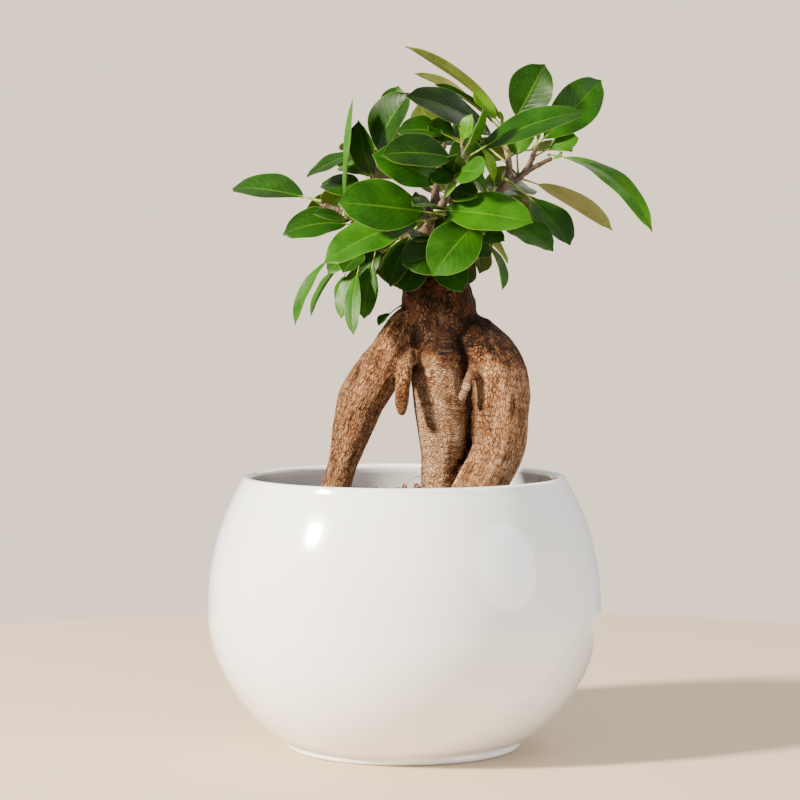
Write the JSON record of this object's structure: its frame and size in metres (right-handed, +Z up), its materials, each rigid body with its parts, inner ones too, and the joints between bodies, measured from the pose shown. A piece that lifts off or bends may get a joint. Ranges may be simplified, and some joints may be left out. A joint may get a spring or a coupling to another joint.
{
  "type": "bonsai tree in a pot",
  "caption": "Ginseng ficus bonsai with a swollen stock on aerial roots and a grafted leafy crown, planted in a round glossy white glazed bowl.",
  "frame": {"origin": "centre of the bowl's flat foot, on the surface that it stands on", "axes": "+Z up along the bowl's axis; -Y to the front, the side from which the three roots show; +X to the right seen from the front"},
  "size_m": [0.2143, 0.1898, 0.3364],
  "materials": {
    "white_glaze": "gloss",
    "potting_mix": "matte",
    "stock_bark": "matte",
    "shoot_bark": "matte",
    "leaf_green": "satin"
  },
  "bodies": {
    "root": {"bowl": "white_glaze", "soil": "potting_mix", "stock": "stock_bark", "shoot_back": "shoot_bark", "shoot_front": "shoot_bark", "shoot_left": "shoot_bark", "shoot_right": "shoot_bark", "leaf_back_01": "leaf_green", "leaf_back_02": "leaf_green", "leaf_back_03": "leaf_green", "leaf_back_04": "leaf_green", "leaf_back_05": "leaf_green", "leaf_back_06": "leaf_green", "leaf_back_07": "leaf_green", "leaf_back_08": "leaf_green", "leaf_front_01": "leaf_green", "leaf_front_02": "leaf_green", "leaf_front_03": "leaf_green", "leaf_front_04": "leaf_green", "leaf_front_05": "leaf_green", "leaf_front_06": "leaf_green", "leaf_front_07": "leaf_green", "leaf_front_08": "leaf_green", "leaf_front_09": "leaf_green", "leaf_front_10": "leaf_green", "leaf_front_11": "leaf_green", "leaf_front_12": "leaf_green", "leaf_front_13": "leaf_green", "leaf_front_14": "leaf_green", "leaf_front_15": "leaf_green", "leaf_front_16": "leaf_green", "leaf_left_01": "leaf_green", "leaf_left_02": "leaf_green", "leaf_left_03": "leaf_green", "leaf_left_04": "leaf_green", "leaf_left_05": "leaf_green", "leaf_left_06": "leaf_green", "leaf_left_07": "leaf_green", "leaf_left_08": "leaf_green", "leaf_left_09": "leaf_green", "leaf_left_10": "leaf_green", "leaf_left_11": "leaf_green", "leaf_left_12": "leaf_green", "leaf_left_13": "leaf_green", "leaf_left_14": "leaf_green", "leaf_left_15": "leaf_green", "leaf_left_16": "leaf_green", "leaf_right_01": "leaf_green", "leaf_right_02": "leaf_green", "leaf_right_03": "leaf_green", "leaf_right_04": "leaf_green", "leaf_right_05": "leaf_green", "leaf_right_06": "leaf_green", "leaf_right_07": "leaf_green", "leaf_right_08": "leaf_green", "leaf_right_09": "leaf_green", "leaf_right_10": "leaf_green", "leaf_right_11": "leaf_green", "leaf_right_12": "leaf_green", "leaf_sprout": "leaf_green"}
  },
  "joints": []
}
